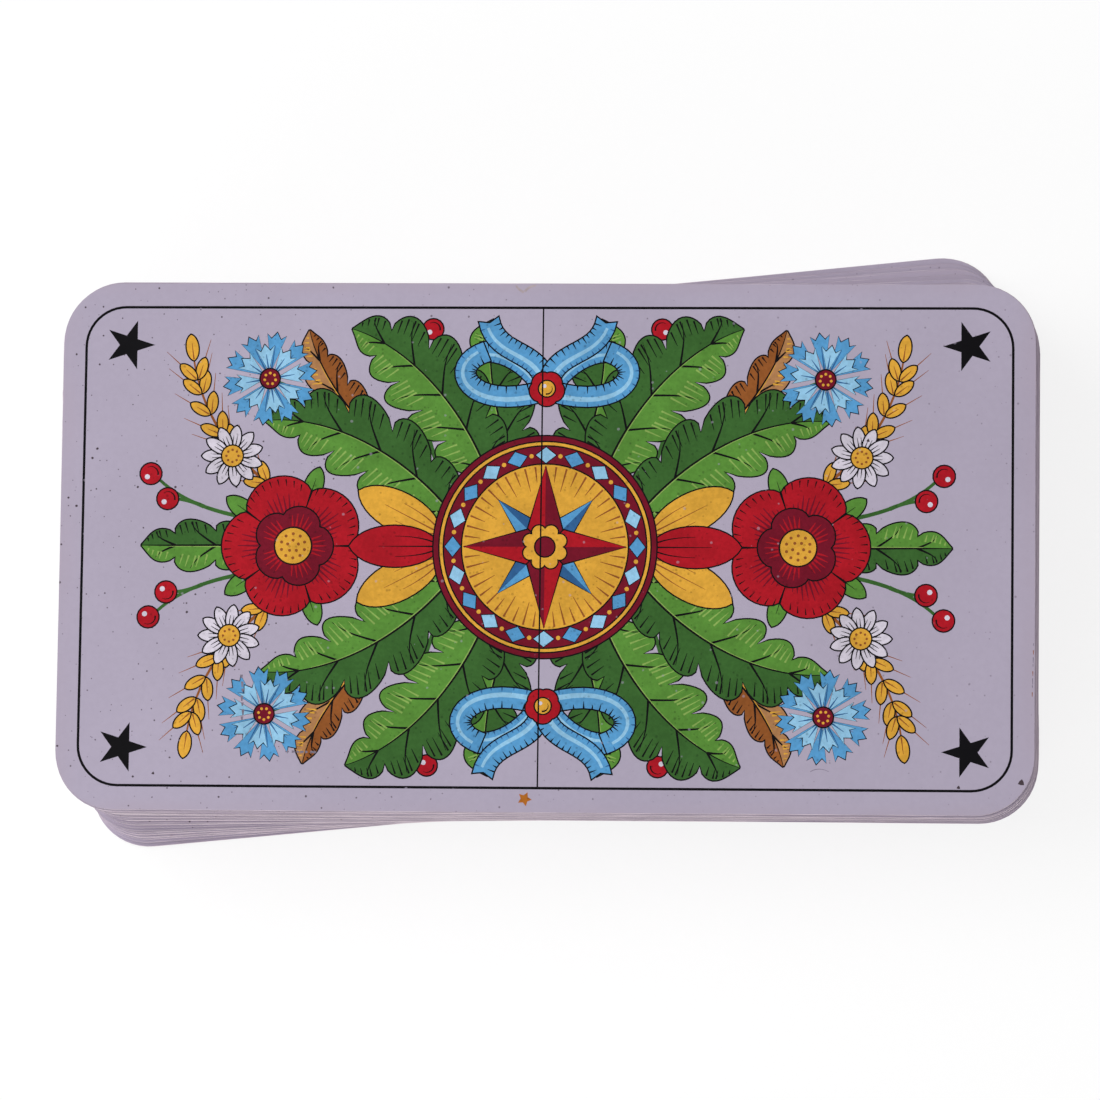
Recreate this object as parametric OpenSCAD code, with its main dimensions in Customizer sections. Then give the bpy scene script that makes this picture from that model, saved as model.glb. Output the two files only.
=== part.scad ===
// Tarot pack of 78 cards, lying face up in a loosely squared pile.
// The upper cards lie straight, and the lower ones turn and slide more the deeper they lie, a few at a time.
// Frame: +Z up from the table, +X along the top card, origin on the table under the top card's middle.

/* [Card] */
// Length of a card
card_l = 112; // [90:0.5:140]
// Width of a card
card_w = 61; // [50:0.5:80]
// Thickness of the card stock
card_t = 0.29; // [0.2:0.01:0.5]
// Radius of a card's rounded corners
corner_r = 6.8; // [1:0.1:12]

/* [Pile] */
// Air between one card and the next
air_gap = 0.02; // [0.01:0.01:0.2]
// Cards in each small packet that slid as one
packet_cards = 3; // [1:1:20]
// Share of the pile that lies straight, counted from the top
straight_share = 0.33; // [0:0.01:0.9]
// Turn of the bottom card against the top card, in degrees
bottom_turn = 5.6; // [0:0.1:12]
// Slide of the bottom card along the pile
bottom_slide_x = -1.5; // [-5:0.1:5]
// Slide of the bottom card across the pile
bottom_slide_y = 2.3; // [-5:0.1:5]
// Curve of the turn below the straight share: 1 is even, more sets in later
turn_curve = 2.2; // [1:0.1:4]
// How far the middle of the pile bulges past the top card's right end
bulge = 0.45; // [0:0.05:3]

/* [Scatter] */
// Largest stray of a single card along and across the pile
stray = 0.1; // [0:0.05:1]
// Largest stray of a single card's turn, in degrees
stray_turn = 0.12; // [0:0.02:2]

/* [Hidden] */
// The pack, from the bottom of the pile to the top: four suits, the trumps and the excuse
SUITS = ["clubs", "diamonds", "hearts", "spades"];
PIPS = 10;
COURTS = ["jack", "knight", "queen", "king"];
TRUMPS = 21;
suit_cards = PIPS + len(COURTS);
first_trump = suit_cards * len(SUITS);
top_card = first_trump + TRUMPS;

// Height from one card's underside to the next one's
pitch = card_t + air_gap;
// Sine steps from card to card that spread the strays evenly, in degrees
stray_step_x = 137.5;
stray_step_y = 99.5;
stray_step_turn = 222.5;
// The light lavender grey of worn, uncoated stock
STOCK = "#B8ABBF";
$fn = 64;

// Names of the nodes. Two pip cards share a node, as a pair of separate solids.
function two_digits(n) = n < 10 ? str("0", n) : str(n);
function pair_name(suit, n) = str(suit, "_", two_digits(n), "_", two_digits(n + 1));
function court_name(suit, court) = str(suit, "_", court);
function trump_name(n) = str("trump_", two_digits(n));

// Packet that card i lies in, counted down from the top of the pile
function packet(i) = floor((top_card - i) / packet_cards);
// Depth of card i's packet in the pile, from 0 at the top to 1 at the bottom
function depth(i) = packet(i) / packet(0);
// How far card i has joined the turn and slide of the bottom card, from 0 to 1
function turned(i) = pow(max(0, depth(i) - straight_share) / (1 - straight_share), turn_curve);
// A card's own stray, from -1 to 1, which is 0 for the top card
function sway(i, step) = sin(step * (top_card - i));
function card_x(i) =
    bottom_slide_x * turned(i) + bulge * sin(180 * depth(i)) + stray * sway(i, stray_step_x);
function card_y(i) = bottom_slide_y * turned(i) + stray * sway(i, stray_step_y);
function card_turn(i) = bottom_turn * turned(i) + stray_turn * sway(i, stray_step_turn);

// Flat outline of a card, a rectangle with rounded corners
module card_outline() {
    corner_x = card_l / 2 - corner_r;
    corner_y = card_w / 2 - corner_r;
    square([card_l, 2 * corner_y], center = true);
    square([2 * corner_x, card_w], center = true);
    for (x = [-corner_x, corner_x])
        for (y = [-corner_y, corner_y])
            translate([x, y])
                circle(r = corner_r);
}

// Card i of the pile, at its own height, turn and place
module card_in_pile(i) {
    translate([card_x(i), card_y(i), i * pitch])
        rotate(card_turn(i))
            linear_extrude(height = card_t)
                card_outline();
}

// Two pip cards of a suit, number n and the one above it
module pip_pair(suit_index, n) {
    color(STOCK)
        for (k = [n - 1, n])
            card_in_pile(suit_index * suit_cards + k);
}

// One court card of a suit
module court_card(suit_index, court_index) {
    color(STOCK)
        card_in_pile(suit_index * suit_cards + PIPS + court_index);
}

// One numbered trump
module trump_card(n) {
    color(STOCK)
        card_in_pile(first_trump + n - 1);
}

// The excuse, the unnumbered card that tops the pile
module excuse_card() {
    color(STOCK)
        card_in_pile(top_card);
}

for (s = [0 : len(SUITS) - 1]) {
    for (n = [1 : 2 : PIPS - 1])
        pip_pair(s, n);
    for (c = [0 : len(COURTS) - 1])
        court_card(s, c);
}
for (n = [1 : TRUMPS])
    trump_card(n);
excuse_card();  // excuse
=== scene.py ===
"""Dresses a tarot pack: the print on every card, the worn board it is printed on, and the stage."""

import cmath
import math

import bpy
from bpy.props import FloatProperty, FloatVectorProperty, PointerProperty
from bpy.types import NodeSocket, Operator, Panel, PropertyGroup, Scene
from mathutils import Matrix, Vector
from mathutils.geometry import delaunay_2d_cdt


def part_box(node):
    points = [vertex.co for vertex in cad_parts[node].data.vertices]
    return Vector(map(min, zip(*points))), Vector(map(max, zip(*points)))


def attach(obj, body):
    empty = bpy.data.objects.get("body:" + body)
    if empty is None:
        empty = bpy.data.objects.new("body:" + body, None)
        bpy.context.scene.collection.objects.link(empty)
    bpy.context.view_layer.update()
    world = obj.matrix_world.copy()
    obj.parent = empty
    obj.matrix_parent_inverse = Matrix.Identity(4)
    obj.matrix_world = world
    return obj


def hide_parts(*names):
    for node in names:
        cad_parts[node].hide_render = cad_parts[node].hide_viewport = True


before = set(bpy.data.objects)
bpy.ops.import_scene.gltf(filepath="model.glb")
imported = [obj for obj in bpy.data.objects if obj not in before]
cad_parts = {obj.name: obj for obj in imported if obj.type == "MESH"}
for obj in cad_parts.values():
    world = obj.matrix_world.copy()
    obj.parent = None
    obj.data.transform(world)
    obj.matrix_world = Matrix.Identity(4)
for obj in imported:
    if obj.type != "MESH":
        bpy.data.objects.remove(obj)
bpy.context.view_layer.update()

bl_info = {
    "name": "Tarot pack",
    "version": (1, 0, 0),
    "blender": (4, 5, 0),
    "location": "3D View > Sidebar > Cards",
    "description": "Makes the printed and worn cards of a tarot pack around its frame",
    "category": "Add Mesh",
}

MM = 0.001
TOP_CARD = [Vector(corner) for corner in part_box("excuse")]
CARD_SPAN = TOP_CARD[1] - TOP_CARD[0]
CARD_HALF = complex(CARD_SPAN.x, CARD_SPAN.y) / 2 / MM
SUITS = ("clubs", "diamonds", "hearts", "spades")
RED_SUITS = ("diamonds", "hearts")
COURTS = ("jack", "knight", "queen", "king")
PIPS = 10
TRUMPS = 21
BOARD_PARTS = ("stock", "edge", "rim", "back")
LAMPS = ("side_lamp", "front_lamp", "fill_lamp")

# Print, in millimetres: the line round a patch of ink, pen strokes at root and tip, points that merge
PEN = 0.17
FINE_PEN = 0.1
MIDRIB = (0.42, 0.08)
VEIN = (0.26, 0.06)
LEAF_HATCH = (0.22, 0.06)
HATCH = (0.2, 0.05)
ENGRAVING = (0.24, 0.06)
BEARD = (0.14, 0.05)
PETAL_BOW = 0.3
CORNER_STEPS = 12
MERGE = 1e-4

# Finishes: roughness noise (waves to the millimetre, detail, low, high), bump strength and bump waves
FACE_FEEL = (0.2, 3, 0.46, 0.6, 0.12, 1.2)
INK_FEEL = (0.2, 3, 0.4, 0.52, 0.1, 1.2)
EDGE_FEEL = (1.2, 2, 0.7, 0.85, 0.25, 3)
RIM_FEEL = (1.2, 2, 0.7, 0.85, 0.2, 3)
CLOUDS = (0.05, 3)
GLOSS = 0.03
BUMP_HEIGHT = 0.02 * MM
NOISE_SPAN = (0.3, 0.7)
CARD_SHIFT = (37.3, 19.7, 5.1)
WHITE = (1, 1, 1, 1)

# Meshes and stage: the rise of a normal that points down or level, then the floor and the camera
DOWN = -0.9
LEVEL = 0.1
SHARP_ANGLE = math.radians(30)
FLOOR_REACH = 3.0
FLOOR_STEPS = 64
FLOOR_DROP = 0.05 * MM
FLOOR_TONE = 0.9
FLOOR_FADE = (100, 400)
NEAR_CLIP = 0.02


# Settings

def linear(level):
    """A colour level from 0 to 255, as the scene's light counts it."""
    share = level / 255
    return share / 12.92 if share <= 0.04045 else ((share + 0.055) / 1.055) ** 2.4


def length(name, description, count):
    """A length, whose default is given as a count of millimetres."""
    return FloatProperty(name=name, description=description, default=count * MM, min=0, unit="LENGTH")


def hue(name, description, *levels):
    """A colour, whose default is given in levels of red, green and blue from 0 to 255."""
    return FloatVectorProperty(
        name=name,
        description=description,
        default=[linear(level) for level in levels],
        min=0,
        max=1,
        subtype="COLOR",
    )


def position(name, description, *metres):
    """A place, counted from the middle of the top card's face."""
    return FloatVectorProperty(
        name=name,
        description=f"From the middle of the top card's face to {description}",
        default=metres,
        subtype="TRANSLATION",
        unit="LENGTH",
    )


def wattage(name, watts):
    """A lamp's power."""
    return FloatProperty(name=name, description="Power of the lamp", default=watts, min=0, unit="POWER")


class CardSizes(PropertyGroup):
    """Sizes of the cards and of the lines printed round them."""

    corner: length("Corner", "Radius of a card's corners", 6.8)
    rim: length("Rim", "How far the cut edge is rounded over", 0.03)
    line_end: length("Line to end", "From a card's end to the frame line", 2.6)
    line_side: length("Line to side", "From a card's long side to the frame line", 2.8)
    line_width: length("Line width", "Width of the frame line", 0.3)
    line_corner: length("Line corner", "Radius of the frame line's corners", 4.6)
    star: length("Star", "From the middle of a corner star to its tips", 3)
    star_end: length("Star to end", "From a card's end to the middle of a star", 7.6)
    star_side: length("Star to side", "From a card's long side to the middle of a star", 7.2)


class CardColours(PropertyGroup):
    """Colours of the board and the printing inks."""

    stock: hue("Stock", "Bare face of the board", 172, 163, 182)
    rim_tone: hue("Rim tone", "Handled board near a card's rim", 170, 158, 174)
    edge: hue("Edge", "Cut edge of the board", 236, 221, 228)
    # Rim colour: partly real grime from hands and partly painted shade, darkening each card's rounded rim
    # in place of the thin shadow line there
    grime: hue("Grime", "Rounded rim of the board, darkened by hands", 168, 155, 168)
    dirt: hue("Dirt", "Specks", 70, 60, 66)
    black: hue("Black", "Line ink", 14, 13, 16)
    green: hue("Green", "Leaf ink", 86, 135, 55)
    dark_green: hue("Dark green", "Leaf shade", 56, 96, 45)
    pale_green: hue("Pale green", "Leaf light", 132, 164, 84)
    red: hue("Red", "Flower ink", 166, 24, 36)
    maroon: hue("Maroon", "Flower shade", 110, 20, 38)
    ochre: hue("Ochre", "Grain ink", 212, 158, 58)
    brown: hue("Brown", "Grain shade", 140, 82, 40)
    tan: hue("Tan", "Dry leaf ink", 170, 122, 80)
    blue: hue("Blue", "Ribbon ink", 84, 148, 196)
    pale_blue: hue("Pale blue", "Ribbon light", 140, 188, 218)
    dark_blue: hue("Dark blue", "Ribbon shade", 48, 92, 140)
    white: hue("White", "Lightest ink", 204, 197, 210)
    graphite: hue("Graphite", "Rubbed marks", 122, 115, 130)
    rust: hue("Rust", "A fleck of spilt drink", 168, 100, 36)
    stain: hue("Stain", "A faint brown stain", 170, 156, 160)


class StageSettings(PropertyGroup):
    """Camera and light."""

    camera_place: position("Camera", "the camera", 0.05125, -0.08386, 0.69307)
    camera_turn: FloatVectorProperty(
        name="Camera turn",
        description="Tilt of the camera away from straight down, turned about Z first and X last",
        default=[math.radians(angle) for angle in (6.87, 4.15, 0.25)],
        subtype="EULER",
        unit="ROTATION",
    )
    lens: FloatProperty(
        name="Lens", description="Focal length on a 36 mm sensor", default=200.06, unit="CAMERA"
    )
    side_lamp_place: position("Side lamp", "the lamp on its left", -0.36, 0.12, 0.55)
    side_lamp_power: wattage("Side lamp power", 2.9)
    front_lamp_place: position("Front lamp", "the low lamp at the front left", -0.3, -0.5, 0.18)
    front_lamp_power: wattage("Front lamp power", 1.5)
    fill_lamp_place: position("Fill lamp", "the low weak lamp on its right", 0.6, 0.06, 0.14)
    fill_lamp_power: wattage("Fill lamp power", 0.42)
    lamp_width: length("Lamp width", "Width of each lamp", 500)
    ambience: FloatProperty(name="Ambience", description="Light from all around", default=0.46, min=0)
    glow: FloatProperty(
        name="Floor glow",
        description="Share of the floor's white that no shadow dims",
        default=0.8,
        min=0,
        max=1,
        subtype="FACTOR",
    )


# Drawing: points on a face are complex numbers in millimetres, along the card and across it

def polar(radius, degrees):
    """The point at a radius and an angle."""
    return cmath.rect(radius, math.radians(degrees))


def mirrored(point):
    """A point of an upright drawing, moved to the other side of its axis."""
    return -point.conjugate()


def disc(centre, radius, steps=36):
    """A round spot."""
    return [centre + polar(radius, 360 * i / steps) for i in range(steps)]


def star(centre, radius, turn, points=5, waist=0.382):
    """A star with straight sides, one of its tips at the angle turn."""
    radii = (radius, radius * waist)
    return [centre + polar(radii[i % 2], turn + 180 * i / points) for i in range(2 * points)]


def rosette(centre, radius, lobes, depth, turn=0, steps=10):
    """A round flower whose edge swells into lobes, with sharp notches between them."""
    outline = []
    for i in range(lobes * steps):
        dip = depth * (1 - abs(math.sin(math.pi * i / steps)) ** 0.7)
        outline.append(centre + polar(radius * (1 - dip), turn + 360 * i / (lobes * steps)))
    return outline


def lozenge(centre, along, across, turn):
    """A lozenge whose first diagonal lies at the angle turn."""
    return [centre + p * polar(1, turn) for p in (along, across * 1j, -along, -across * 1j)]


def rounded(half, radius, steps=CORNER_STEPS):
    """A rectangle with round corners, from half its length and half its width."""
    outline = []
    for quarter in range(4):
        way = polar(1, 90 * quarter + 45)
        centre = complex(
            math.copysign(half.real - radius, way.real), math.copysign(half.imag - radius, way.imag)
        )
        outline += [centre + polar(radius, 90 * (quarter + i / steps)) for i in range(steps + 1)]
    return outline


def curve(start, lead, trail, end, steps=14):
    """A smooth curve from start to end, drawn towards lead first and trail later."""
    path = []
    for i in range(steps + 1):
        t = i / steps
        u = 1 - t
        path.append(u**3 * start + 3 * u * u * t * lead + 3 * u * t * t * trail + t**3 * end)
    return path


def bowed(start, end, near, far, bow, steps=14):
    """A curve from start to end, which bows to its left between two shares of the way."""
    reach = end - start
    lead, trail = (start + reach * (share + bow * 1j) for share in (near, far))
    return curve(start, lead, trail, end, steps)


def sides(path, widths):
    """The right and the left side of a band along a path, from its start to its end."""
    last = len(path) - 1
    right, left = [], []
    for i, point in enumerate(path):
        ahead = path[min(i + 1, last)] - path[max(i - 1, 0)]
        across = 1j * ahead / abs(ahead) * widths[i]
        right.append(point - across)
        left.append(point + across)
    return right, left


def between(right, left, share):
    """The path a share of the way from the right side of a band to its left side."""
    return [here + (there - here) * share for here, there in zip(right, left)]


def stroke(path, start, end):
    """A pen stroke along a path, whose width runs evenly from start to end."""
    last = len(path) - 1
    right, left = sides(path, [(start + (end - start) * i / last) / 2 for i in range(last + 1)])
    return right + left[::-1]


def anticlockwise(outline):
    """The outline, turned round if it runs clockwise."""
    twice_area = sum((a.conjugate() * b).imag for a, b in zip(outline, outline[1:] + outline[:1]))
    return outline if twice_area > 0 else outline[::-1]


def grown(outline, by):
    """An anticlockwise outline moved outwards all round."""
    bigger = []
    for i, point in enumerate(outline):
        before = point - outline[i - 1]
        after = outline[(i + 1) % len(outline)] - point
        normal = -1j * (before / abs(before) + after / abs(after))
        bigger.append(point + by * normal / max(abs(normal) ** 2 / 2, 0.5))
    return bigger


class Face:
    """The print on one card face: flat inks, each laid over the ones before it."""

    def __init__(self):
        self.layers = []

    def fill(self, outline, ink):
        """A flat patch of ink."""
        self.layers.append((anticlockwise(outline), ink))

    def inked(self, outline, ink, line=PEN):
        """A patch of ink with a black line round it."""
        self.fill(grown(anticlockwise(outline), line), "black")
        self.fill(outline, ink)

    def pen(self, path, start, end=None, ink="black"):
        """A pen stroke, which may taper."""
        self.fill(stroke(path, start, start if end is None else end), ink)

    def ray(self, centre, way, inner, outer, width, ink="black"):
        """A tapered stroke straight away from a centre."""
        self.pen([centre + polar(inner, way), centre + polar(outer, way)], width, width / 4, ink)

    def dots(self, centre, ring, count, radius, ink):
        """A ring of small dots."""
        for k in range(count):
            self.fill(disc(centre + polar(ring, 360 * k / count), radius, 6), ink)

    def add(self, other, place=lambda point: point):
        """Another print over this one, each of its points moved by place."""
        for outline, ink in other.layers:
            self.fill([place(p) for p in outline], ink)


# Ornaments

def draw_leaf(face, base, tip, bow, width, lobes, inks=("green", "dark_green", "pale_green"), hatching=5):
    """A lobed leaf with a shaded side, a midrib, veins and hatching."""
    light, shade, glint = inks
    reach = tip - base
    heading = reach / abs(reach)
    spine = bowed(base, tip, 0.35, 0.75, bow, 12 * lobes)
    last = len(spine) - 1
    widths, sweep = [], []
    for i in range(last + 1):
        lobe = abs(math.sin(math.pi * lobes * i / last)) ** 0.55
        swell = max(0.0, math.sin(math.pi * (0.1 + 0.9 * i / last) ** 0.85)) ** 0.75
        widths.append(width * swell * (0.5 + 0.5 * lobe) + 0.06)
        sweep.append(reach * 0.07 * lobe * math.sin(math.pi * i / last))
    right, left = ([p + s for p, s in zip(side, sweep)] for side in sides(spine, widths))
    face.inked(right + left[::-1], light)
    face.fill(right + spine[::-1], shade)
    for k in range(lobes):
        root = spine[last * k // lobes]
        crown = int(last * (k + 0.5) / lobes)
        for edge in (right, left):
            bend = (root + edge[crown]) / 2 + reach * 0.12 / lobes
            face.pen(curve(root, bend, bend, root + (edge[crown] - root) * 0.9, 6), *VEIN)
        for step in range(hatching):
            at = int(last * (k + 0.2 + 0.56 * step / max(1, hatching - 1)) / lobes)
            for edge, ink, near, far in ((left, glint, 0.4, 0.86), (right, "black", 0.94, 0.5)):
                across = edge[at] - spine[at]
                face.pen([spine[at] + across * near, spine[at] + across * far], *LEAF_HATCH, ink)
    face.pen(spine, *MIDRIB)
    face.pen([p + heading * 0.12j for p in spine[2 : last * 3 // 4]], 0.14, 0.06, glint)


def draw_petal(face, base, tip, ink, veins=3, vein_ink="black", bow=PETAL_BOW):
    """A pointed petal, with veins that run out from its base."""
    left, right = (bowed(base, tip, 0.15, 0.85, side) for side in (bow, -bow))
    face.inked(right + left[-2:0:-1], ink)
    for k in range(veins):
        vein = between(right, left, (k + 1) / (veins + 1))
        face.pen(vein[1 : 10 - abs(2 * k - veins + 1)], *HATCH, vein_ink)


def draw_rose(face, centre, radius, turn, outer="red", inner="maroon", heart="ochre"):
    """A five-petalled rose with green sepals, an inner ring of petals and a dotted heart."""
    petals = 5
    gap = 180 / petals
    ways = [turn + 2 * gap * k for k in range(petals)]
    for way in ways:
        sepal = polar(radius, way + gap)
        draw_petal(face, centre + sepal * 0.6, centre + sepal * 1.16, "green", 1)
    face.inked(rosette(centre, radius, petals, 0.2, turn - gap, 14), outer)
    for way in ways:
        for i in range(-4, 5):
            rim = radius * (0.78 - 0.01 * i * i - 0.05 * (i % 2))
            face.ray(centre, way + 6.2 * i, radius * 0.47, rim, 0.3, inner)
            rim = radius * (0.97 - 0.006 * i * i)
            face.ray(centre, way + 7 * i + 3, rim, rim - radius * 0.1, 0.18)
        face.ray(centre, way + gap, radius * 0.82, radius * 0.5, 0.3)
    face.inked(rosette(centre, radius * 0.56, petals, 0.2, turn, 12), inner)
    for way in ways:
        for i in range(-2, 3):
            reach = radius * (0.47 - 0.01 * i * i)
            face.ray(centre, way + gap + 10 * i, radius * 0.28, reach, 0.26, outer)
    face.inked(disc(centre, radius * 0.25), heart)
    for ring, count in ((0.17, 10), (0.08, 5)):
        face.dots(centre, radius * ring, count, radius * 0.024, "brown")


def draw_daisy(face, centre, radius, turn, petals=11):
    """A white daisy with a domed heart."""
    for k in range(petals):
        petal = polar(radius, turn + 360 * k / petals)
        draw_petal(face, centre + petal * 0.2, centre + petal, "white", 2)
    face.inked(disc(centre, radius * 0.34, 20), "ochre")
    face.dots(centre, radius * 0.2, 8, radius * 0.045, "brown")


def draw_cornflower(face, centre, radius, turn):
    """A blue flower of toothed florets round a dark heart."""
    teeth = (-0.22j, -0.1 - 0.11j, 0.06, -0.1 + 0.11j, 0.22j)
    for count, reach, shift, ink in ((10, 1.02, 0.5, "blue"), (8, 0.74, 0, "pale_blue")):
        for k in range(count):
            way = polar(radius, turn + 360 * (k + shift) / count)
            root = centre + way * 0.18
            mouth = centre + way * reach
            face.inked([root] + [mouth + way * tooth for tooth in teeth], ink, FINE_PEN)
            face.pen([root, root + (mouth - root) * 0.7], *ENGRAVING, "dark_blue")
    face.inked(disc(centre, radius * 0.22, 20), "maroon")
    face.dots(centre, radius * 0.13, 7, radius * 0.035, "ochre")


def draw_ear(face, path, rows, grain):
    """An ear of wheat along a path, with grains in pairs and long beards."""
    last = len(path) - 1
    face.pen(path, 0.5, 0.2, "brown")
    for k in range(rows):
        at = int(last * (0.36 + 0.62 * k / rows))
        ahead = path[at + 1] - path[at - 1]
        for lean in (-32, 32):
            way = ahead / abs(ahead) * polar(grain, lean)
            root = path[at] + way * 0.1
            face.pen([root + way * 0.9, root + way * 1.9], *BEARD, "brown")
            draw_petal(face, root, root + way, "ochre", 1, "brown")
    ahead = path[last] - path[last - 1]
    way = ahead / abs(ahead) * grain
    draw_petal(face, path[last] - way * 0.4, path[last] + way * 0.8, "ochre", 1, "brown")


def draw_ribbon(face, path, width, tail=True):
    """A band of blue ribbon with a lit stripe, hatched sides and, at a loose end, a swallow tail."""
    last = len(path) - 1
    right, left = sides(path, [width / 2] * (last + 1))
    notch = [(path[last] + path[last - 1]) / 2] if tail else []
    face.inked(right + notch + left[::-1], "blue")
    stripe = between(right, left, 0.64)
    face.pen(stripe[:-1], width * 0.26, width * 0.14, "pale_blue")
    for i in range(1, last):
        reach = (left[i] - right[i]) * (0.2 + 0.14 * (i % 2))
        face.pen([right[i], right[i] + reach], *HATCH)
        face.pen([left[i], left[i] - reach * 0.6], *HATCH, "dark_blue")


def draw_berry(face, centre, radius, ink="red"):
    """A round berry with a glint and a shaded side."""
    face.inked(disc(centre, radius, 18), ink)
    face.fill(disc(centre + radius * (-0.3 + 0.35j), radius * 0.26, 8), "white")
    face.pen([centre + polar(radius * 0.7, way) for way in range(-100, 31, 26)], *HATCH)


def draw_compass(face, reach, turn, points, light, shade):
    """A pointed star about the middle, each of its rays with a light and a shaded side."""
    waist = reach * 0.3
    for k in range(points):
        way = turn + 360 * k / points
        low, high = polar(waist, way - 180 / points), polar(waist, way + 180 / points)
        face.inked([0, low, polar(reach, way), high], light)
        face.fill([0, low, polar(reach, way)], shade)


def draw_glory(face, count, rim, *ends):
    """Brown rays from the rim of a disc towards the middle, long and short by turns."""
    for k in range(count):
        face.ray(0, 360 * k / count, rim, ends[k % len(ends)], ENGRAVING[0], "brown")


# Numbers and suit signs

DIGITS = {
    "0": ((0.5j, -0.4 + 0.5j, -0.4 - 0.5j, -0.5j), (-0.5j, 0.4 - 0.5j, 0.4 + 0.5j, 0.5j)),
    "1": ((-0.2 + 0.3j, 0.03 + 0.5j), (0.03 + 0.5j, 0.03 - 0.5j), (-0.16 - 0.47j, 0.22 - 0.47j)),
    "2": (
        (-0.26 + 0.25j, -0.26 + 0.6j, 0.36 + 0.6j, 0.24 + 0.12j),
        (0.24 + 0.12j, 0.14 - 0.15j, -0.2 - 0.3j, -0.28 - 0.47j),
        (-0.28 - 0.47j, 0.3 - 0.47j),
    ),
    "3": (
        (-0.26 + 0.32j, -0.15 + 0.6j, 0.42 + 0.55j, 0.24 + 0.2j),
        (0.24 + 0.2j, 0.18 + 0.06j, 0.05 + 0.04j, -0.06 + 0.04j),
        (-0.06 + 0.04j, 0.1 + 0.05j, 0.3, 0.28 - 0.22j),
        (0.28 - 0.22j, 0.26 - 0.6j, -0.24 - 0.58j, -0.28 - 0.3j),
    ),
    "4": ((0.12 + 0.5j, -0.3 - 0.18j), (-0.3 - 0.18j, 0.3 - 0.18j), (0.12 + 0.5j, 0.12 - 0.5j)),
    "5": (
        (0.26 + 0.47j, -0.2 + 0.47j),
        (-0.2 + 0.47j, -0.24 + 0.03j),
        (-0.24 + 0.03j, 0.22j, 0.34 + 0.12j, 0.28 - 0.2j),
        (0.28 - 0.2j, 0.22 - 0.6j, -0.2 - 0.56j, -0.28 - 0.32j),
    ),
    "6": (
        (0.22 + 0.46j, -0.1 + 0.45j, -0.3 + 0.1j, -0.28 - 0.18j),
        (-0.28 - 0.18j, -0.3 - 0.6j, 0.3 - 0.62j, 0.28 - 0.16j),
        (0.28 - 0.16j, 0.26 + 0.2j, -0.22 + 0.16j, -0.28 - 0.18j),
    ),
    "7": ((-0.28 + 0.47j, 0.28 + 0.47j), (0.28 + 0.47j, 0.05 + 0.1j, -0.08 - 0.2j, -0.1 - 0.5j)),
    "8": (
        (0.05j, -0.4 + 0.15j, -0.32 + 0.5j, 0.5j),
        (0.5j, 0.32 + 0.5j, 0.4 + 0.15j, 0.05j),
        (0.05j, -0.45 - 0.05j, -0.4 - 0.5j, -0.5j),
        (-0.5j, 0.4 - 0.5j, 0.45 - 0.05j, 0.05j),
    ),
}
DIGITS["9"] = tuple(tuple(-point for point in line) for line in DIGITS["6"])


def draw_number(face, number, centre, height, ink="black"):
    """A plain number in pen strokes."""
    digits = str(number)
    for k, digit in enumerate(digits):
        middle = centre + height * 0.74 * (k - (len(digits) - 1) / 2)
        for line in DIGITS[digit]:
            path = line if len(line) == 2 else curve(*line, steps=9)
            face.pen([middle + height * p for p in path], height * 0.14, ink=ink)


def heart_outline(height):
    """A heart about the origin."""
    outline = []
    for i in range(40):
        t = 2 * math.pi * i / 40
        rise = 13 * math.cos(t) - 5 * math.cos(2 * t) - 2 * math.cos(3 * t) - math.cos(4 * t)
        outline.append(height / 29 * complex(16 * math.sin(t) ** 3, rise + 2.5))
    return outline


def diamond_outline(height):
    """A diamond about the origin, with slightly hollow sides."""
    tips = [0.42 * height, 0.54j * height, -0.42 * height, -0.54j * height]
    outline = []
    for here, there in zip(tips, tips[1:] + tips[:1]):
        bend = (here + there) * 0.44
        outline += curve(here, bend, bend, there, 8)[:-1]
    return outline


def stalk_outline(height):
    """The flared stalk of a spade or a club."""
    waist, foot = (-0.03 - 0.05j) * height, (-0.23 - 0.5j) * height
    left = curve(waist, waist - 0.1j * height, foot + (0.18 + 0.1j) * height, foot, 6)
    return left + [mirrored(p) for p in left[::-1]]


def suit_outlines(suit, height):
    """The outlines that make up an upright suit sign about the origin."""
    if suit == "hearts":
        return [heart_outline(height)]
    if suit == "diamonds":
        return [diamond_outline(height)]
    if suit == "spades":
        blade = [0.09j * height - p for p in heart_outline(0.82 * height)]
        return [blade, stalk_outline(height)]
    leaf = 0.225 * height
    leaves = [disc(0.06j * height + polar(0.25 * height, way), leaf, 24) for way in (90, 205, 335)]
    return leaves + [stalk_outline(height)]


def suit_ink(suit):
    """The ink of a suit's signs and numbers."""
    return "red" if suit in RED_SUITS else "black"


def draw_suit(face, suit, centre, height, way=1):
    """A suit sign whose top points along way."""
    for outline in suit_outlines(suit, height):
        face.fill([centre + way * p for p in outline], suit_ink(suit))


# Card faces: an upright half, with its foot at height 0, is laid on both halves of a card

def lay_two_way(face, half):
    """Lays an upright half on the card's left half, and turned half round on its right half."""
    face.add(half, lambda point: point * 1j)
    face.add(half, lambda point: point * -1j)


def both_sides(side):
    """An upright half from its right side."""
    half = Face()
    half.add(side, mirrored)
    half.add(side)
    return half


def framed_face(sizes):
    """A face with the thin frame line that runs round it."""
    face = Face()
    inset = complex(sizes.line_end, sizes.line_side) / MM
    pen = sizes.line_width / MM / 2
    radius = sizes.line_corner / MM
    for out, ink in ((pen, "black"), (-pen, "stock")):
        face.fill(rounded(CARD_HALF - inset + complex(out, out), radius + out), ink)
    return face


def draw_middle_line(face, sizes, along, width):
    """The thin line that parts the two halves of a face."""
    reach = (CARD_HALF.imag - sizes.line_side / MM) * 1j
    face.pen([along - reach, along + reach], width)


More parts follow.
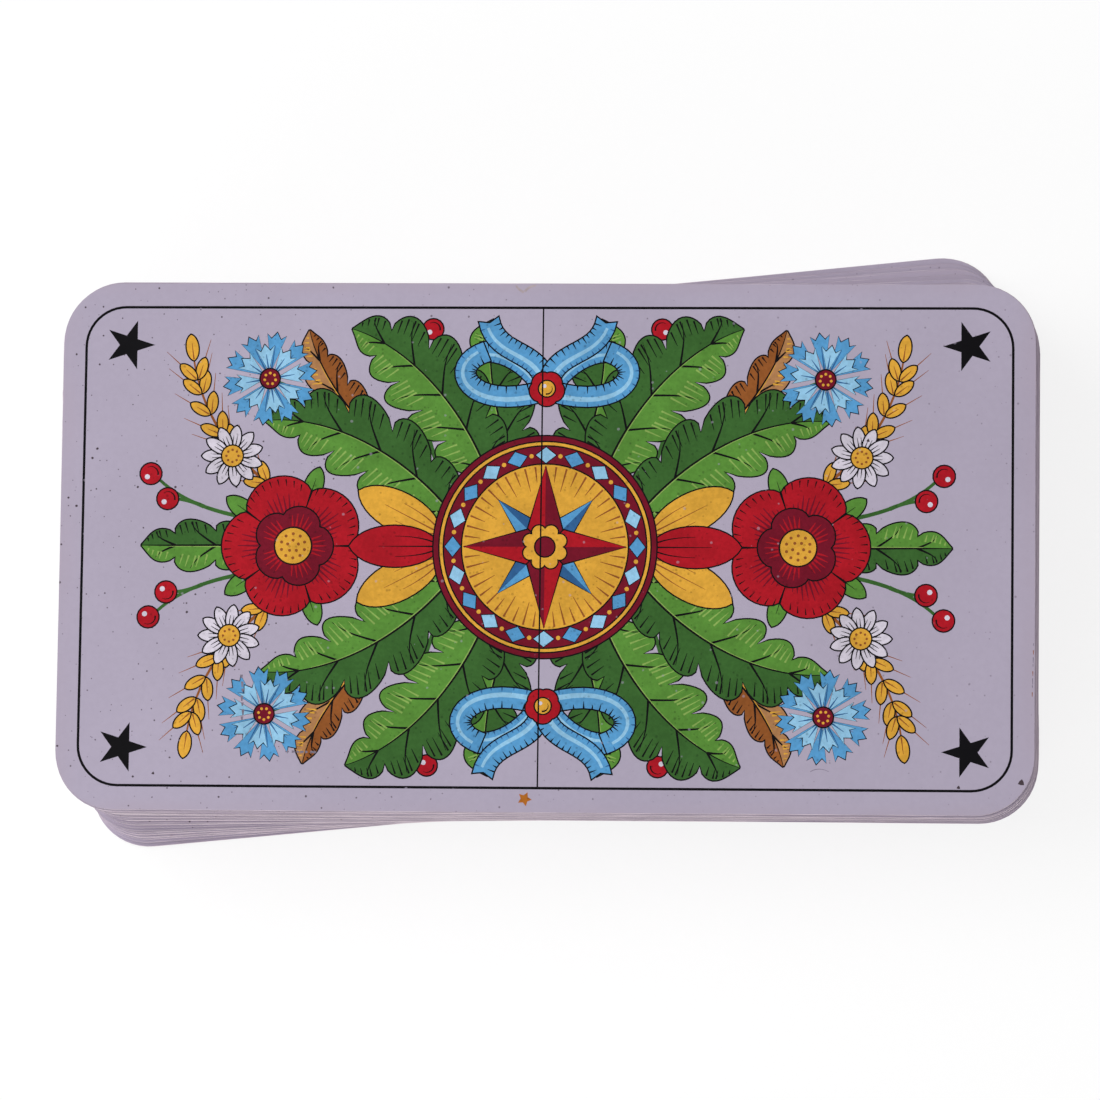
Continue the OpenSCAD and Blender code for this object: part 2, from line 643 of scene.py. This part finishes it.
def draw_corner_stars(face, sizes):
    """A black star in each corner, a tip of each pointing along the card to its middle."""
    corner = CARD_HALF - complex(sizes.star_end, sizes.star_side) / MM
    for end, turn in ((-1, 0), (1, 180)):
        for side in (-1, 1):
            centre = complex(corner.real * end, corner.imag * side)
            face.fill(star(centre, sizes.star / MM, turn), "black")


def draw_bouquet(half):
    """Leaves, wheat, flowers and berries that spread from the middle of the card."""
    side = Face()
    for stalk in (
        curve(8 + 20j, 14 + 25j, 18 + 28j, 19 + 31j),
        curve(3 + 33j, 4 + 40j, 6 + 43j, 8 + 45j),
        curve(4.5 + 39.4j, 5 + 40.4j, 5.4 + 41.8j, 5.4 + 43j),
        curve(8 + 12j, 16 + 15j, 20 + 15j, 25 + 13.6j),
    ):
        side.pen(stalk, 0.5, 0.35, "dark_green")
    for berry in (25.2 + 13.2j, 22.4 + 12.2j, 22.9 + 15.6j):
        draw_berry(side, berry, 1.15)
    draw_leaf(side, 8 + 3j, 26.3 + 6.2j, bow=0.1, width=4.4, lobes=4)
    draw_leaf(side, 9 + 7j, 25.2 + 22.5j, bow=-0.14, width=5.4, lobes=5)
    draw_leaf(side, 11 + 18j, 25 + 27.5j, bow=0.1, width=2.6, lobes=4, inks=("tan", "brown", "ochre"))
    draw_leaf(side, 4 + 11j, 14.5 + 32.5j, bow=-0.16, width=5, lobes=5)
    draw_ear(side, curve(2 + 22j, 6 + 34j, 14 + 40j, 22.5 + 41j, 30), rows=7, grain=2.5)
    draw_cornflower(side, 19.4 + 32j, radius=5, turn=10)
    draw_daisy(side, 10.4 + 36.2j, radius=3.5, turn=90)
    for berry in (8.3 + 45.6j, 5.4 + 43.6j):
        draw_berry(side, berry, 1.2)
    draw_ribbon(side, curve(18.5 + 0.5j, 21 + 2j, 23 + 5j, 22.5 + 7.6j, 10), width=2.3, tail=False)
    draw_ribbon(side, curve(18 + 0.5j, 15.5 + 9j, 21 + 12j, 22.6 + 7j, 16), width=2.3, tail=False)
    draw_ribbon(side, curve(19 + 0.2j, 23 + 1j, 22 + 6j, 26.3 + 6.8j, 14), width=2.3)
    half.add(both_sides(side))
    draw_leaf(half, 33j, 46.5j, bow=0, width=3, lobes=3)
    draw_rose(half, 29j, radius=8.2, turn=90)
    for lean in (-1, 1):
        draw_petal(half, 1.5 * lean + 12j, 6.4 * lean + 21.5j, "ochre", vein_ink="brown", bow=0.28)
    draw_petal(half, 12j, 22.5j, "red")


def draw_medallion(face):
    """A golden disc with a compass star, in a dark ring set with blue lozenges."""
    for radius, ink in ((12.8, "maroon"), (12.1, "ochre"), (11.6, "maroon")):
        face.inked(disc(0, radius, 72), ink)
    studs, ring = 20, 10.6
    gap = 180 / studs
    for k in range(studs):
        way = 2 * gap * k
        ink = "pale_blue" if k % 2 else "blue"
        face.inked(lozenge(polar(ring, way), 0.9, 1.15, way), ink, FINE_PEN)
        face.fill(disc(polar(ring, way + gap), 0.26, 8), "ochre")
    face.inked(disc(0, 9.5, 72), "ochre")
    draw_glory(face, 48, 9.3, 6.6, 7.5)
    draw_compass(face, 7.6, 45, 4, "blue", "dark_blue")
    draw_compass(face, 9.3, 0, 4, "red", "maroon")
    face.inked(rosette(0, 2.6, 8, 0.22, 0, 8), "ochre")
    face.inked(disc(0, 1.1, 20), "maroon")


def draw_wear(face):
    """The marks that years of play left on the top card."""
    face.fill(star(-1.95 - 28.95j, 0.85, turn=66, waist=0.52), "rust")
    for smear in (
        curve(-3.7 + 30.3j, -3.6 + 30j, -3.2 + 29.7j, -2.8 + 29.5j, 6),
        curve(-1.4 + 30.3j, -1.8 + 30.3j, -2.3 + 30.1j, -2.7 + 29.6j, 6),
    ):
        face.pen(smear, 0.2, 0.3, "stain")
    for spot, radius in (
        (54.5 - 26.7j, 0.42),
        (-44.65 - 26.3j, 0.2),
        (47.4 - 27.3j, 0.24),
        (36.9 + 12.4j, 0.22),
    ):
        face.fill(star(spot, radius, turn=80, points=3, waist=0.68), "dirt")
    face.pen(curve(30.6 - 25.6j, 31.2 - 25.2j, 32 - 25.2j, 32.7 - 25.6j, 6), 0.1, 0.05, "graphite")
    for start, step in ((-34.65 - 14.9j, 0.02 - 0.8j), (-29.3 - 23.7j, 0.52 - 0.01j)):
        for k in range(7):
            rub = start + step * k + 0.06 * (k % 3)
            face.pen([rub, rub + step * (0.5 + 0.3 * (k % 2))], 0.34, 0.14, "graphite")
    for k in range(8):
        scuff = 55.84 - 0.02 * k - (10.8 + 0.8 * k) * 1j
        ink = "brown" if k % 3 == 1 else "graphite"
        face.pen([scuff, scuff - (0.3 + 0.2 * (k % 3)) * 1j], 0.11, 0.05, ink)


def excuse_face(sizes):
    """The unnumbered card: corner stars and a two-way bouquet round a medallion."""
    face = framed_face(sizes)
    half = Face()
    draw_bouquet(half)
    lay_two_way(face, half)
    for knot in (-18.3j, 18.3j):
        face.inked(rosette(knot, 2, 5, 0.12, 90), "red")
        draw_berry(face, knot, 0.9, "ochre")
    draw_medallion(face)
    draw_middle_line(face, sizes, -0.5, 0.18)
    draw_corner_stars(face, sizes)
    draw_wear(face)
    return face


def trump_face(sizes, number):
    """A numbered trump: a rose between leaves and a compass star, which change with the number."""
    outer, inner = (("red", "maroon"), ("ochre", "brown"), ("blue", "dark_blue"))[number % 3]
    side = Face()
    flower = 14 + 37j
    side.pen(curve(2 + 22j, 6 + 28j, 9 + 33j, flower), 0.5, 0.3, "dark_green")
    draw_leaf(side, 5 + 3j, 24 + 6j, bow=0.1, width=4, lobes=4, hatching=2)
    draw_leaf(side, 6 + 9j, 23 + 24j, bow=-0.14, width=5, lobes=5, hatching=2)
    if outer == "red":
        draw_daisy(side, flower, radius=4.6, turn=90)
    elif outer == "ochre":
        draw_cornflower(side, flower, radius=4.8, turn=10)
    else:
        for way in (90, 210, 330):
            draw_berry(side, flower + polar(1.9, way), 1.5)
    half = both_sides(side)
    draw_leaf(half, 31j, 45j, bow=0, width=2.8, lobes=3, hatching=2)
    draw_rose(half, 24j, 8, 90, outer, inner, "maroon" if outer == "ochre" else "ochre")
    for corner in (-22.8 + 48j, 22.8 + 48j):
        draw_number(half, number, corner, 5.2)
    face = framed_face(sizes)
    lay_two_way(face, half)
    draw_middle_line(face, sizes, 0, 0.2)
    for radius, ink in ((9.6, inner), (8.6, "tan" if outer == "ochre" else "ochre")):
        face.inked(disc(0, radius, 60), ink)
    draw_glory(face, 36, 8.4, 6.2, 7)
    draw_compass(face, 8, 90, 4 + number % 7, "red" if outer == "ochre" else outer, inner)
    face.inked(disc(0, 1.6, 20), "white")
    return face


def draw_crown(half, points, jewel):
    """A crown over the shield, with one jewel on each point."""
    spread, peak = 21, 43
    gap = spread / (points - 1)
    tips = [complex(gap * k - spread / 2, peak) for k in range(points)]
    edge = []
    for tip in tips:
        edge += [tip, tip + gap / 2 - 5j]
    half.inked([-9 + 34.5j, 9 + 34.5j] + edge[-2::-1], "ochre")
    for tip in tips:
        for lean, rise in ((-0.8, 0.45), (0, 0.8), (0.8, 0.6)):
            foot = complex(tip.real * 0.86 + lean, 36.2)
            half.pen([foot, foot + (tip - foot) * rise], *ENGRAVING, "brown")
    half.inked([-9 + 34.2j, 9 + 34.2j, 9.2 + 36.2j, -9.2 + 36.2j], "red")
    for k in range(-3, 4):
        half.inked(lozenge(2.7 * k + 35.2j, 0.9, 0.6, 0), "pale_blue", 0.08)
    for tip in tips:
        draw_berry(half, tip + 0.9j, 1.15, jewel)


def draw_shield(half, field):
    """A pointed shield with a golden rim, a coloured border and a pale field."""
    for inset, ink in ((0, "ochre"), (1.1, field), (2, "white")):
        top = complex(inset - 12, 32 - inset)
        flank = curve(top, top - 12j, complex(inset - 8, 11 + inset), complex(0, 6 + 1.3 * inset), 12)
        half.inked(flank + [mirrored(p) for p in flank[-2::-1]], ink)


def court_face(sizes, suit, rank):
    """A court card: a shield with the suit sign under a crown, whose points grow with the rank."""
    warm = suit in RED_SUITS
    side = Face()
    draw_leaf(side, 6 + 3j, 25.5 + 5j, bow=0.1, width=4, lobes=4, hatching=2)
    draw_leaf(side, 7 + 8j, 24.5 + 21j, bow=-0.12, width=4.6, lobes=5, hatching=2)
    draw_ribbon(side, curve(5 + 15j, 15 + 31j, 21 + 18j, 24.5 + 31j, 20), width=2.6)
    draw_ear(side, curve(6 + 26j, 9 + 34j, 12 + 38j, 17 + 41j, 30), rows=5, grain=2.3)
    half = both_sides(side)
    draw_shield(half, "maroon" if warm else "dark_blue")
    draw_suit(half, suit, 20.5j, 15)
    draw_crown(half, rank + 3, "red" if warm else "blue")
    for corner in (-22.6 + 47.6j, 22.6 + 47.6j):
        draw_suit(half, suit, corner, 5.6)
    face = framed_face(sizes)
    lay_two_way(face, half)
    draw_middle_line(face, sizes, 0, 0.3)
    return face


def pip_rows(number):
    """The heights of the signs in a pip card's two outer columns and in its middle column."""
    outer = {4: 2, 5: 2, 6: 3, 7: 3, 8: 3, 9: 4, 10: 4}.get(number, 0)
    reach = 36
    columns = [reach - 2 * reach * k / (outer - 1) for k in range(outer)]
    middle = {1: (0,), 2: (reach, -reach), 3: (reach, 0, -reach), 5: (0,), 9: (0,)}.get(number, ())
    if number in (7, 8, 10):
        gap = (columns[0] + columns[1]) / 2
        middle = (gap,) if number == 7 else (gap, -gap)
    return columns, middle


def pip_face(suit, number):
    """A pip card: its signs in columns, and its number and sign in each corner."""
    half = Face()
    for across in (-24.6, 24.6):
        draw_number(half, number, across + 48.6j, 6 if number < 10 else 5.2, suit_ink(suit))
        draw_suit(half, suit, across + 40.4j, 5.2)
    face = Face()
    lay_two_way(face, half)
    columns, middle = pip_rows(number)
    height = 24 if number == 1 else 13
    for across, rows in ((-13, columns), (0, middle), (13, columns)):
        for row in rows:
            draw_suit(face, suit, complex(across, row) * 1j, height, 1j if row >= 0 else -1j)
    return face


# Finishes

class Nodes:
    """A tree of shader nodes, and short ways to add to it."""

    def __init__(self, tree):
        self.tree = tree

    def put(self, value, socket):
        """Links a node's output to a socket, or sets the socket to a constant."""
        if isinstance(value, NodeSocket):
            self.tree.links.new(value, socket)
        else:
            socket.default_value = value

    def node(self, kind, values=None, **options):
        """A new node with its options and inputs set."""
        node = self.tree.nodes.new("ShaderNode" + kind)
        for key, value in options.items():
            setattr(node, key, value)
        for key, value in (values or {}).items():
            self.put(value, node.inputs[key])
        return node

    def sum(self, operation, one, other):
        """One number worked out from two."""
        return self.node("Math", {0: one, 1: other}, operation=operation).outputs[0]

    def scaled(self, vector, level):
        """A vector or colour times a number."""
        return self.node("VectorMath", {0: vector, "Scale": level}, operation="SCALE").outputs[0]

    def moved(self, point, shift):
        """A point moved by a vector."""
        return self.node("VectorMath", {0: point, 1: shift}, operation="ADD").outputs[0]

    def step(self, value, low, high, bottom=0.0, top=1.0):
        """A smooth step from bottom, at low, to top, at high."""
        values = {"Value": value, "From Min": low, "From Max": high, "To Min": bottom, "To Max": top}
        return self.node("MapRange", values, interpolation_type="SMOOTHSTEP").outputs["Result"]

    def by_ray(self, thrown, seen):
        """One level for the light thrown on the cards, and another for what is seen or reflected."""
        rays = self.node("LightPath").outputs
        mask = rays["Is Camera Ray"]
        for ray in ("Is Glossy Ray", "Is Transmission Ray"):
            mask = self.sum("MAXIMUM", mask, rays[ray])
        return self.node("MapRange", {"Value": mask, "To Min": thrown, "To Max": seen}).outputs["Result"]


class Finish(Nodes):
    """A material with one shader, whose nodes read places on an object in millimetres."""

    def __init__(self, name):
        self.material = bpy.data.materials.new(name)
        self.material.use_nodes = True
        super().__init__(self.material.node_tree)
        self.shader = self.tree.nodes["Principled BSDF"]
        self.shader.inputs["Specular IOR Level"].default_value = GLOSS
        self.here = self.scaled(self.node("TexCoord").outputs["Object"], 1 / MM)
        index = self.node("ObjectInfo").outputs["Object Index"]
        self.place = self.moved(self.here, self.scaled(CARD_SHIFT, index))
        self.card_tone = self.node("TexWhiteNoise", {"W": index}, noise_dimensions="1D").outputs["Value"]

    def noise(self, scale, detail):
        """Soft noise of so many waves to the millimetre, a different piece of it on each card."""
        values = {"Vector": self.place, "Scale": scale, "Detail": detail}
        return self.node("TexNoise", values).outputs["Fac"]

    def varied(self, scale, detail, low, high):
        """A number that wanders between low and high as the noise does."""
        return self.step(self.noise(scale, detail), *NOISE_SPAN, low, high)

    def tint(self, colour, value, low, high):
        """A colour made low to high times as bright, by a number from nodes."""
        return self.scaled(colour, self.step(value, *NOISE_SPAN, low, high))

    def blend(self, factor, tone, colour):
        """A tone covered by a colour as far as a factor says."""
        node = self.node("Mix", data_type="RGBA")
        self.put(factor, node.inputs[0])
        self.put(tone, node.inputs[6])
        self.put((*colour, 1), node.inputs[7])
        return node.outputs[2]

    def spots(self, scale, radius, share):
        """Ragged spots in a share of the cells of a loose grid, as a mask from 0 to 1."""
        shake = self.node("TexNoise", {"Vector": self.place, "Scale": 3 * scale}).outputs["Color"]
        ragged = self.moved(self.place, self.scaled(shake, 0.6 * radius / scale))
        cells = self.node("TexVoronoi", {"Vector": ragged, "Scale": scale})
        draw = self.node("SeparateColor", {"Color": cells.outputs["Color"]})
        chosen = self.step(draw.outputs["Red"], share, share - 0.02)
        reach = self.sum("MULTIPLY", draw.outputs["Green"], radius)
        inside = self.sum("SUBTRACT", reach, cells.outputs["Distance"])
        return self.sum("MULTIPLY", chosen, self.step(inside, 0, radius * 0.4))

    def spotted(self, tone, colour, strength, *spots):
        """A tone with ragged spots of a colour over it."""
        return self.blend(self.sum("MULTIPLY", self.spots(*spots), strength), tone, colour)

    def rim(self, inner):
        """A mask that rises from 0, at a share of the way to the card's rim, to 1 at the rim."""
        axes = self.node("SeparateXYZ", {"Vector": self.here})
        shares = [
            self.sum("DIVIDE", self.sum("ABSOLUTE", axes.outputs[axis], 0), half)
            for axis, half in (("X", CARD_HALF.real), ("Y", CARD_HALF.imag))
        ]
        return self.step(self.sum("MAXIMUM", *shares), inner, 1)

    def finish(self, tone, scale, detail, low, high, bump, bump_scale):
        """Wires up the shader with a tone, wandering roughness and bumps, and returns the material."""
        self.put(tone, self.shader.inputs["Base Color"])
        self.put(self.varied(scale, detail, low, high), self.shader.inputs["Roughness"])
        values = {"Height": self.noise(bump_scale, 3), "Strength": bump, "Distance": BUMP_HEIGHT}
        self.put(self.node("Bump", values).outputs["Normal"], self.shader.inputs["Normal"])
        return self.material


def finish_name(name):
    """The material's name for a part of the board or for an ink."""
    return f"Card {name}" if name in BOARD_PARTS else f"{name.replace('_', ' ').capitalize()} ink"


def stock_finish(colours):
    """Bare board: faintly mottled, toned by hands towards its rim, with a scatter of small specks."""
    finish = Finish("Card stock")
    tone = finish.tint(colours.stock, finish.noise(*CLOUDS), 0.965, 1.03)
    tone = finish.tint(tone, finish.noise(1.6, 4), 0.985, 1.015)
    tone = finish.tint(tone, finish.card_tone, 0.95, 1.02)
    handled = finish.sum("MULTIPLY", finish.rim(0.94), finish.varied(0.12, 2, 0.2, 0.6))
    tone = finish.blend(handled, tone, colours.rim_tone)
    along = finish.node("SeparateXYZ", {"Vector": finish.here}).outputs["X"]
    leftward = finish.step(along, CARD_HALF.real / 2, -CARD_HALF.real, 0.4, 1)
    tone = finish.spotted(tone, colours.dirt, leftward, 0.9, 0.16, 0.85)
    tone = finish.spotted(tone, colours.dirt, finish.sum("MULTIPLY", leftward, 0.8), 1.7, 0.19, 0.5)
    return finish.finish(tone, *FACE_FEEL)


def edge_finish(colours):
    """Cut edges: paler and pinker than the faces, streaked along the pile and dirty in places."""
    finish = Finish("Card edge")
    tone = finish.tint(colours.edge, finish.card_tone, 0.95, 1.03)
    tone = finish.tint(tone, finish.noise(0.25, 4), 0.95, 1.03)
    # On the cut edges this mask is only real dirt, in patches
    grime = finish.sum("MULTIPLY", finish.step(finish.noise(0.9, 3), 0.62, 0.74), 0.3)
    tone = finish.blend(grime, tone, colours.dirt)
    tone = finish.spotted(tone, colours.brown, 0.6, 0.9, 0.26, 0.08)
    return finish.finish(tone, *EDGE_FEEL)


def rim_finish(colours):
    """The rounded rim: darker than the cut edge, partly as grime from hands and partly as painted shade
    for the thin shadow line along each card's rim, and worn paler in places.
    """
    finish = Finish("Card rim")
    tone = finish.tint(colours.grime, finish.card_tone, 0.9, 1.1)
    tone = finish.blend(finish.step(finish.noise(0.15, 4), 0.45, 0.65, 0, 0.6), tone, colours.edge)
    return finish.finish(tone, *RIM_FEEL)


def back_finish(colours):
    """The plain back: a lattice of lozenges in two inks inside a bare margin."""
    finish = Finish("Card back")
    lattice = finish.node("Mapping", {"Vector": finish.here, "Rotation": (0, 0, math.radians(45))})
    lozenges = {
        "Vector": lattice.outputs[0],
        "Color1": (*colours.maroon, 1),
        "Color2": (*colours.stock, 1),
        "Scale": 0.4,
    }
    tone = finish.node("TexChecker", lozenges).outputs[0]
    tone = finish.blend(finish.step(finish.noise(0.5, 4), 0.55, 0.75, 0, 0.5), tone, colours.stock)
    tone = finish.blend(finish.step(finish.rim(0.88), 0.06, 0.1), tone, colours.stock)
    tone = finish.tint(tone, finish.noise(*CLOUDS), 0.95, 1.03)
    return finish.finish(tone, *FACE_FEEL)


def ink_finish(colours, ink):
    """A printing ink: grained with darker dots, and rubbed back to the board in small spots."""
    finish = Finish(finish_name(ink))
    tone = finish.tint(getattr(colours, ink), finish.noise(0.25, 3), 0.9, 1.08)
    tone = finish.tint(tone, finish.noise(2.2, 2), 0.92, 1.06)
    tone = finish.spotted(tone, colours.black, 0.3, 2.4, 0.5, 0.4)
    tone = finish.spotted(tone, colours.stock, 0.35, 1.3, 0.3, 0.14)
    return finish.finish(tone, *INK_FEEL)


def finish_for(name, colours):
    """The material of a part of the board or of an ink, made once."""
    made = bpy.data.materials.get(finish_name(name))
    if made:
        return made
    makers = {"stock": stock_finish, "edge": edge_finish, "rim": rim_finish, "back": back_finish}
    return makers[name](colours) if name in makers else ink_finish(colours, name)


# Cards

def card_places(node):
    """Where a node's cards lie, from the lowest up, as matrices from a card's underside to the frame."""
    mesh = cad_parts[node].data
    places = []
    for floor in sorted({round(side.center.z, 5) for side in mesh.polygons if side.normal.z < DOWN}):
        flanks = [
            side for side in mesh.polygons
            if abs(side.normal.z) < LEVEL and floor < side.center.z < floor + CARD_SPAN.z
        ]
        longest = max(flanks, key=lambda side: side.area).normal
        turn = math.atan(-longest.x / longest.y)
        spin = Matrix.Rotation(turn, 4, "Z")
        corners = [spin.inverted() @ mesh.vertices[i].co for side in flanks for i in side.vertices]
        middle = [(min(p[axis] for p in corners) + max(p[axis] for p in corners)) / 2 for axis in (0, 1)]
        places.append(Matrix.Translation(spin @ Vector((*middle, floor))) @ spin)
    return places


def print_face(rim, face):
    """Parts a card's top into patches of ink: points, triangles, their inks, and the rim's points."""
    points, rings, inks = [], [], []
    for outline, ink in [(rim, "stock")] + face.layers:
        rings.append(range(len(points), len(points) + len(outline)))
        points += outline
        inks.append(ink)
    flat = [Vector((p.real, p.imag)) for p in points]
    spots, _, triangles, sources, _, owners = delaunay_2d_cdt(flat, [], rings, 1, MERGE, True)
    found = {source: spot for spot, group in enumerate(sources) for source in group}
    patch_inks = [inks[max(layers)] for layers in owners]
    return spots, triangles, patch_inks, [found[i] for i in range(len(rim))]


def card_mesh(name, sizes, colours, face):
    """A card with its print on top, rounded cut edges and a back."""
    thickness, rim_round = CARD_SPAN.z / MM, sizes.rim / MM
    wide = rounded(CARD_HALF, sizes.corner / MM)
    narrow = rounded(CARD_HALF - complex(rim_round, rim_round), sizes.corner / MM - rim_round)
    spots, triangles, inks, ring = print_face(narrow, face)
    points = [(spot.x, spot.y, thickness) for spot in spots]
    faces = [tuple(triangle) for triangle in triangles]
    for outline, height, part in (
        (wide, thickness - rim_round, "rim"),
        (wide, rim_round, "edge"),
        (narrow, 0, "rim"),
    ):
        below = range(len(points), len(points) + len(outline))
        points += [(p.real, p.imag, height) for p in outline]
        for i in range(len(ring)):
            faces.append((ring[i - 1], below[i - 1], below[i], ring[i]))
            inks.append(part)
        ring = below
    faces.append(tuple(reversed(ring)))
    inks.append("back")
    slots = sorted(set(inks))
    mesh = bpy.data.meshes.new(name)
    mesh.from_pydata([Vector(point) * MM for point in points], [], faces)
    for slot in slots:
        mesh.materials.append(finish_for(slot, colours))
    mesh.polygons.foreach_set("material_index", [slots.index(ink) for ink in inks])
    mesh.polygons.foreach_set("use_smooth", [True] * len(faces))
    mesh.set_sharp_from_angle(angle=SHARP_ANGLE)
    mesh.update()
    return mesh


def make_card(scene, title, node, place, face):
    """Lays one printed card where the frame holds it."""
    name = f"{title}_card"
    mesh = card_mesh(name, scene.card_sizes, scene.card_colours, face)
    card = bpy.data.objects.new(name, mesh)
    card.pass_index = int(place.translation.z / CARD_SPAN.z)
    scene.collection.objects.link(card)
    card.matrix_world = place
    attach(card, node)
    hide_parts(node)


def make_single(scene, node, face):
    """Lays the only card of a node."""
    make_card(scene, node, node, card_places(node)[0], face)


class TAROT_OT_excuse(Operator):
    """Make the unnumbered card that lies on top"""

    bl_idname = "tarot.excuse"
    bl_label = "Excuse"

    def execute(self, context):
        make_single(context.scene, "excuse", excuse_face(context.scene.card_sizes))
        return {"FINISHED"}


class TAROT_OT_trumps(Operator):
    """Make the numbered trumps"""

    bl_idname = "tarot.trumps"
    bl_label = "Trumps"

    def execute(self, context):
        for number in range(1, TRUMPS + 1):
            face = trump_face(context.scene.card_sizes, number)
            make_single(context.scene, f"trump_{number:02d}", face)
        return {"FINISHED"}


class TAROT_OT_courts(Operator):
    """Make the court cards of the four suits"""

    bl_idname = "tarot.courts"
    bl_label = "Court cards"

    def execute(self, context):
        for suit in SUITS:
            for rank, court in enumerate(COURTS):
                face = court_face(context.scene.card_sizes, suit, rank)
                make_single(context.scene, f"{suit}_{court}", face)
        return {"FINISHED"}


class TAROT_OT_pips(Operator):
    """Make the pip cards of the four suits, two to a node"""

    bl_idname = "tarot.pips"
    bl_label = "Pip cards"

    def execute(self, context):
        for suit in SUITS:
            for low in range(1, PIPS, 2):
                node = f"{suit}_{low:02d}_{low + 1:02d}"
                for number, place in zip((low, low + 1), card_places(node)):
                    face = pip_face(suit, number)
                    make_card(context.scene, f"{suit}_{number:02d}", node, place, face)
        return {"FINISHED"}


# Stage

def floor_finish(glow):
    """A pale matt floor, seen as white but for the soft shadow round the pack."""
    finish = Finish("Pale floor")
    away = finish.node("VectorMath", {0: finish.here}, operation="LENGTH").outputs["Value"]
    lit = finish.step(away, *FLOOR_FADE, glow, 1)
    inputs = finish.shader.inputs
    inputs["Roughness"].default_value = 0.9
    inputs["Specular IOR Level"].default_value = 0
    inputs["Emission Color"].default_value = WHITE
    finish.put(finish.by_ray(FLOOR_TONE, finish.sum("SUBTRACT", 1, lit)), inputs["Base Color"])
    finish.put(finish.by_ray(0, lit), inputs["Emission Strength"])
    return finish.material


def make_floor(scene):
    """A wide round floor just under the pack."""
    rim = disc(0, FLOOR_REACH, FLOOR_STEPS)
    mesh = bpy.data.meshes.new("studio_floor")
    mesh.from_pydata([(p.real, p.imag, -FLOOR_DROP) for p in rim], [], [tuple(range(len(rim)))])
    mesh.materials.append(floor_finish(scene.stage_settings.glow))
    floor = bpy.data.objects.new("studio_floor", mesh)
    scene.collection.objects.link(floor)


def make_world(scene):
    """White to the camera and in reflections, and a softer light on the cards."""
    world = bpy.data.worlds.new("Studio")
    world.use_nodes = True
    nodes = Nodes(world.node_tree)
    background = world.node_tree.nodes["Background"]
    background.inputs["Color"].default_value = WHITE
    nodes.put(nodes.by_ray(scene.stage_settings.ambience, 1), background.inputs["Strength"])
    scene.world = world


def make_lamp(scene, name, focus):
    """A square soft lamp that faces the top card."""
    settings = scene.stage_settings
    reach = Vector(getattr(settings, f"{name}_place"))
    lamp = bpy.data.lights.new(name, "AREA")
    lamp.size = settings.lamp_width
    lamp.energy = getattr(settings, f"{name}_power")
    stand = bpy.data.objects.new(name, lamp)
    stand.location = focus + reach
    stand.rotation_euler = (-reach).to_track_quat("-Z", "Y").to_euler()
    scene.collection.objects.link(stand)


def make_camera(scene, focus):
    """The camera, where the photograph was taken from."""
    settings = scene.stage_settings
    lens = bpy.data.cameras.new("Camera")
    lens.lens = settings.lens
    lens.clip_start = NEAR_CLIP
    camera = bpy.data.objects.new("Camera", lens)
    camera.location = focus + Vector(settings.camera_place)
    camera.rotation_mode = "ZYX"
    camera.rotation_euler = settings.camera_turn
    scene.collection.objects.link(camera)
    scene.camera = camera


class TAROT_OT_stage(Operator):
    """Set up the camera, the lamps and the floor"""

    bl_idname = "tarot.stage"
    bl_label = "Stage"

    def execute(self, context):
        scene = context.scene
        focus = (TOP_CARD[0] + TOP_CARD[1]) / 2
        focus.z = TOP_CARD[1].z
        scene.view_settings.view_transform = "Standard"
        make_camera(scene, focus)
        make_floor(scene)
        make_world(scene)
        for lamp in LAMPS:
            make_lamp(scene, lamp, focus)
        return {"FINISHED"}


class TAROT_PT_pack(Panel):
    """The pack's settings, and a button for each group of cards"""

    bl_idname = "TAROT_PT_pack"
    bl_label = "Tarot pack"
    bl_space_type = "VIEW_3D"
    bl_region_type = "UI"
    bl_category = "Cards"

    def draw(self, context):
        for operator in OPERATORS:
            self.layout.operator(operator.bl_idname)
        for name, group in SETTINGS.items():
            box = self.layout.box()
            for key in group.__annotations__:
                box.prop(getattr(context.scene, name), key)


OPERATORS = (TAROT_OT_stage, TAROT_OT_excuse, TAROT_OT_trumps, TAROT_OT_courts, TAROT_OT_pips)
SETTINGS = {"stage_settings": StageSettings, "card_sizes": CardSizes, "card_colours": CardColours}
CLASSES = (*SETTINGS.values(), *OPERATORS, TAROT_PT_pack)


def register():
    for cls in CLASSES:
        bpy.utils.register_class(cls)
    for name, group in SETTINGS.items():
        setattr(Scene, name, PointerProperty(type=group))


def unregister():
    for name in SETTINGS:
        delattr(Scene, name)
    for cls in reversed(CLASSES):
        bpy.utils.unregister_class(cls)


def main():
    register()
    bpy.ops.tarot.stage()
    bpy.ops.tarot.excuse()
    bpy.ops.tarot.trumps()
    bpy.ops.tarot.courts()
    bpy.ops.tarot.pips()


if __name__ == "__main__":
    main()
